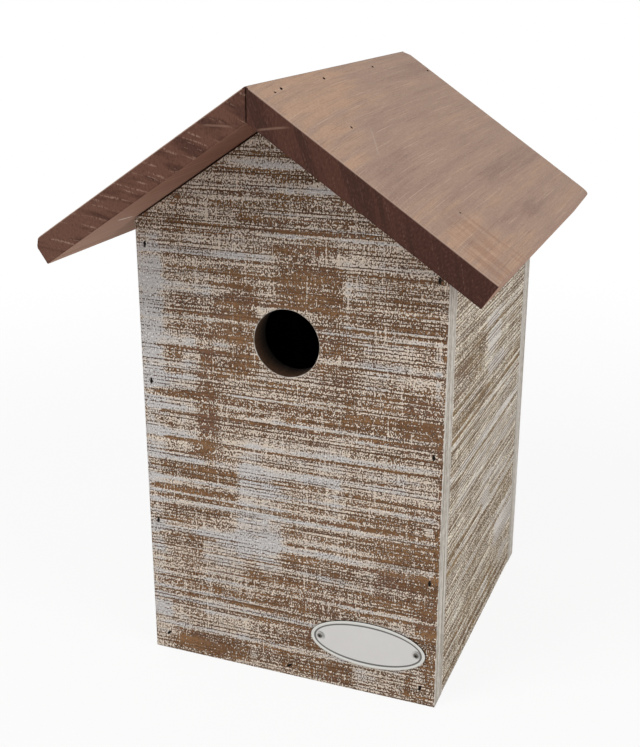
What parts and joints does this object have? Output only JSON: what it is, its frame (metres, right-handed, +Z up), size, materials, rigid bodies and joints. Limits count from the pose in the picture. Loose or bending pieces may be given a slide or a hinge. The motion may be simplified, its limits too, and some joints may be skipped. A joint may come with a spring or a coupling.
{
  "type": "nest box",
  "caption": "Gabled nest box for small birds: whitewashed plywood panels round a floor, a round entrance hole, a mitred roof of stained boards and a bare oval plate.",
  "frame": {"origin": "centre of the base, on the surface that the box stands on", "axes": "+Z up to the ridge, -Y out of the entrance hole, +X to the right as seen from the front"},
  "size_m": [0.209, 0.206, 0.2911],
  "materials": {
    "whitewashed_gable": "rough-sawn plywood stained brown and brushed with thin off-white paint, in level streaks",
    "whitewashed_side": "the same whitewashed rough-sawn plywood, a little paler and yellower",
    "whitewashed_floor": "the same plywood, plainly whitewashed underneath",
    "stained_roof": "planed softwood with a matt red-brown stain, darker on the end grain",
    "plate_paint": "satin cream-grey enamel, bare of any print but a thin grey line inside the rim",
    "pin_steel": "small domed steel pins, dull",
    "brad_steel": "steel brads with a dark coating"
  },
  "bodies": {
    "root": {"front_panel": "whitewashed_gable", "back_panel": "whitewashed_gable", "left_wall": "whitewashed_side", "right_wall": "whitewashed_side", "floor_panel": "whitewashed_floor", "roof_left": "stained_roof", "roof_right": "stained_roof", "name_plate": "plate_paint", "plate_pin_left": "pin_steel", "plate_pin_right": "pin_steel", "front_brad_left_low": "brad_steel", "front_brad_left_mid": "brad_steel", "front_brad_left_top": "brad_steel", "front_brad_right_low": "brad_steel", "front_brad_right_mid": "brad_steel", "front_brad_right_top": "brad_steel", "front_brad_foot_left": "brad_steel", "front_brad_foot_right": "brad_steel", "front_brad_floor": "brad_steel", "back_brad_left_low": "brad_steel", "back_brad_left_mid": "brad_steel", "back_brad_left_top": "brad_steel", "back_brad_right_low": "brad_steel", "back_brad_right_mid": "brad_steel", "back_brad_right_top": "brad_steel", "back_brad_foot_left": "brad_steel", "back_brad_foot_right": "brad_steel", "back_brad_floor": "brad_steel", "ridge_brad_front": "brad_steel", "ridge_brad_mid": "brad_steel", "ridge_brad_back": "brad_steel", "roof_brad_left_upper": "brad_steel", "roof_brad_left_lower": "brad_steel", "roof_brad_left_back": "brad_steel", "roof_brad_right_upper": "brad_steel", "roof_brad_right_lower": "brad_steel", "roof_brad_right_back": "brad_steel"}
  },
  "joints": []
}
